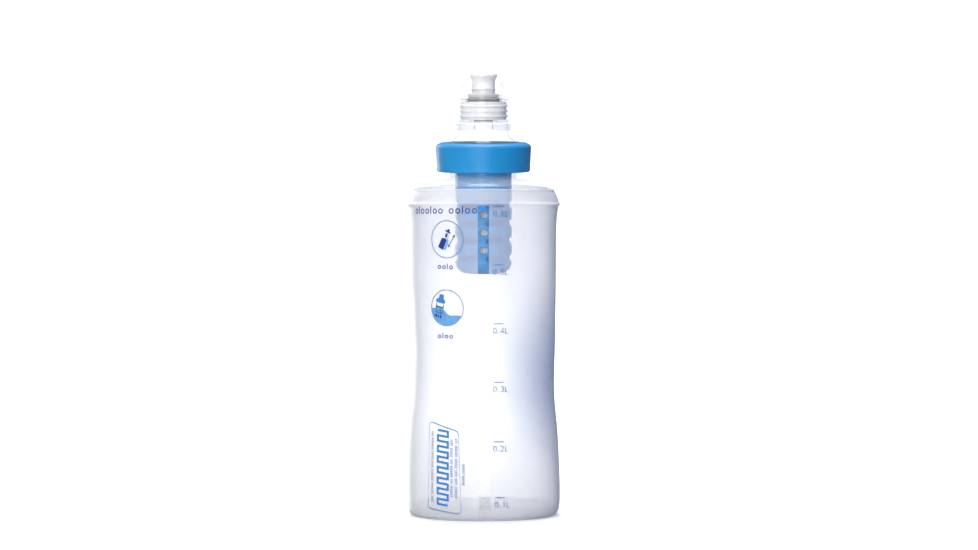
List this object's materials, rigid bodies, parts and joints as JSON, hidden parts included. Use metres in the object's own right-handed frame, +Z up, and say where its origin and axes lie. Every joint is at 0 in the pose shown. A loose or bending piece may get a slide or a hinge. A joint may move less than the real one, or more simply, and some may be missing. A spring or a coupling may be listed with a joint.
{
  "type": "collapsible water filter flask",
  "caption": "Soft collapsible water flask with an oval film body, a screw collar, a hollow-fibre filter hung in its neck, a push-pull spout and a hinged clear cap.",
  "frame": {"origin": "middle of the flask's flat underside", "axes": "+Z up along the flask's axis, +X across the wide side of the oval body, -Y towards the printed front with the weld seam"},
  "size_m": [0.0774, 0.0696, 0.2246],
  "materials": {
    "film": "frosted translucent film",
    "seam": "clear weld",
    "moulding": "milky translucent moulding",
    "clear": "clear moulding",
    "blue": "satin moulding",
    "silicone": "milky satin",
    "seal": "satin",
    "resin": "cast",
    "ink": "screen print",
    "fibre": "bundled fibres"
  },
  "bodies": {
    "flask": {"flask_film": "film", "base_panel": "film", "seam_strip": "seam", "shoulder_and_neck": "moulding"},
    "filter": {"neck_gasket": "seal", "filter_head": "blue", "filter_cage": "blue", "potting_plug": "resin", "fibre_bundle": "fibre", "head_o_ring": "seal", "nozzle_barrel": "clear", "nozzle_floor": "clear", "nozzle_top": "clear", "nozzle_sleeve": "moulding", "valve_stem": "moulding"},
    "collar": {"screw_collar": "blue"},
    "spout": {"spout": "silicone", "spout_o_ring": "seal"},
    "cap_ring": {"cap_ring": "clear", "hinge_pin": "moulding"},
    "flip_cap": {"flip_cap": "clear"}
  },
  "joints": [
    {"name": "filter_lift", "type": "slide", "parent": "flask", "child": "filter", "axis": [0, 0, 1], "range_m": [0, 0.005]},
    {"name": "collar_turn", "type": "hinge", "parent": "filter", "child": "collar", "pos_m": [0, 0, 0.1739], "axis": [0, 0, 1], "range_deg": [0, 450]},
    {"name": "spout_pull", "type": "slide", "parent": "filter", "child": "spout", "axis": [0, 0, 1], "range_m": [-0.0045, 0]},
    {"name": "cap_swivel", "type": "hinge", "parent": "filter", "child": "cap_ring", "pos_m": [0, 0, 0.1947], "axis": [0, 0, 1], "continuous": true},
    {"name": "cap_flip", "type": "hinge", "parent": "cap_ring", "child": "flip_cap", "pos_m": [0, 0.017, 0.2159], "axis": [-1, 0, 0], "range_deg": [0, 165]}
  ],
  "couplings": [
    {"joint": "filter_lift", "follows": "collar_turn", "m_per_rad": 0.0006366}
  ]
}
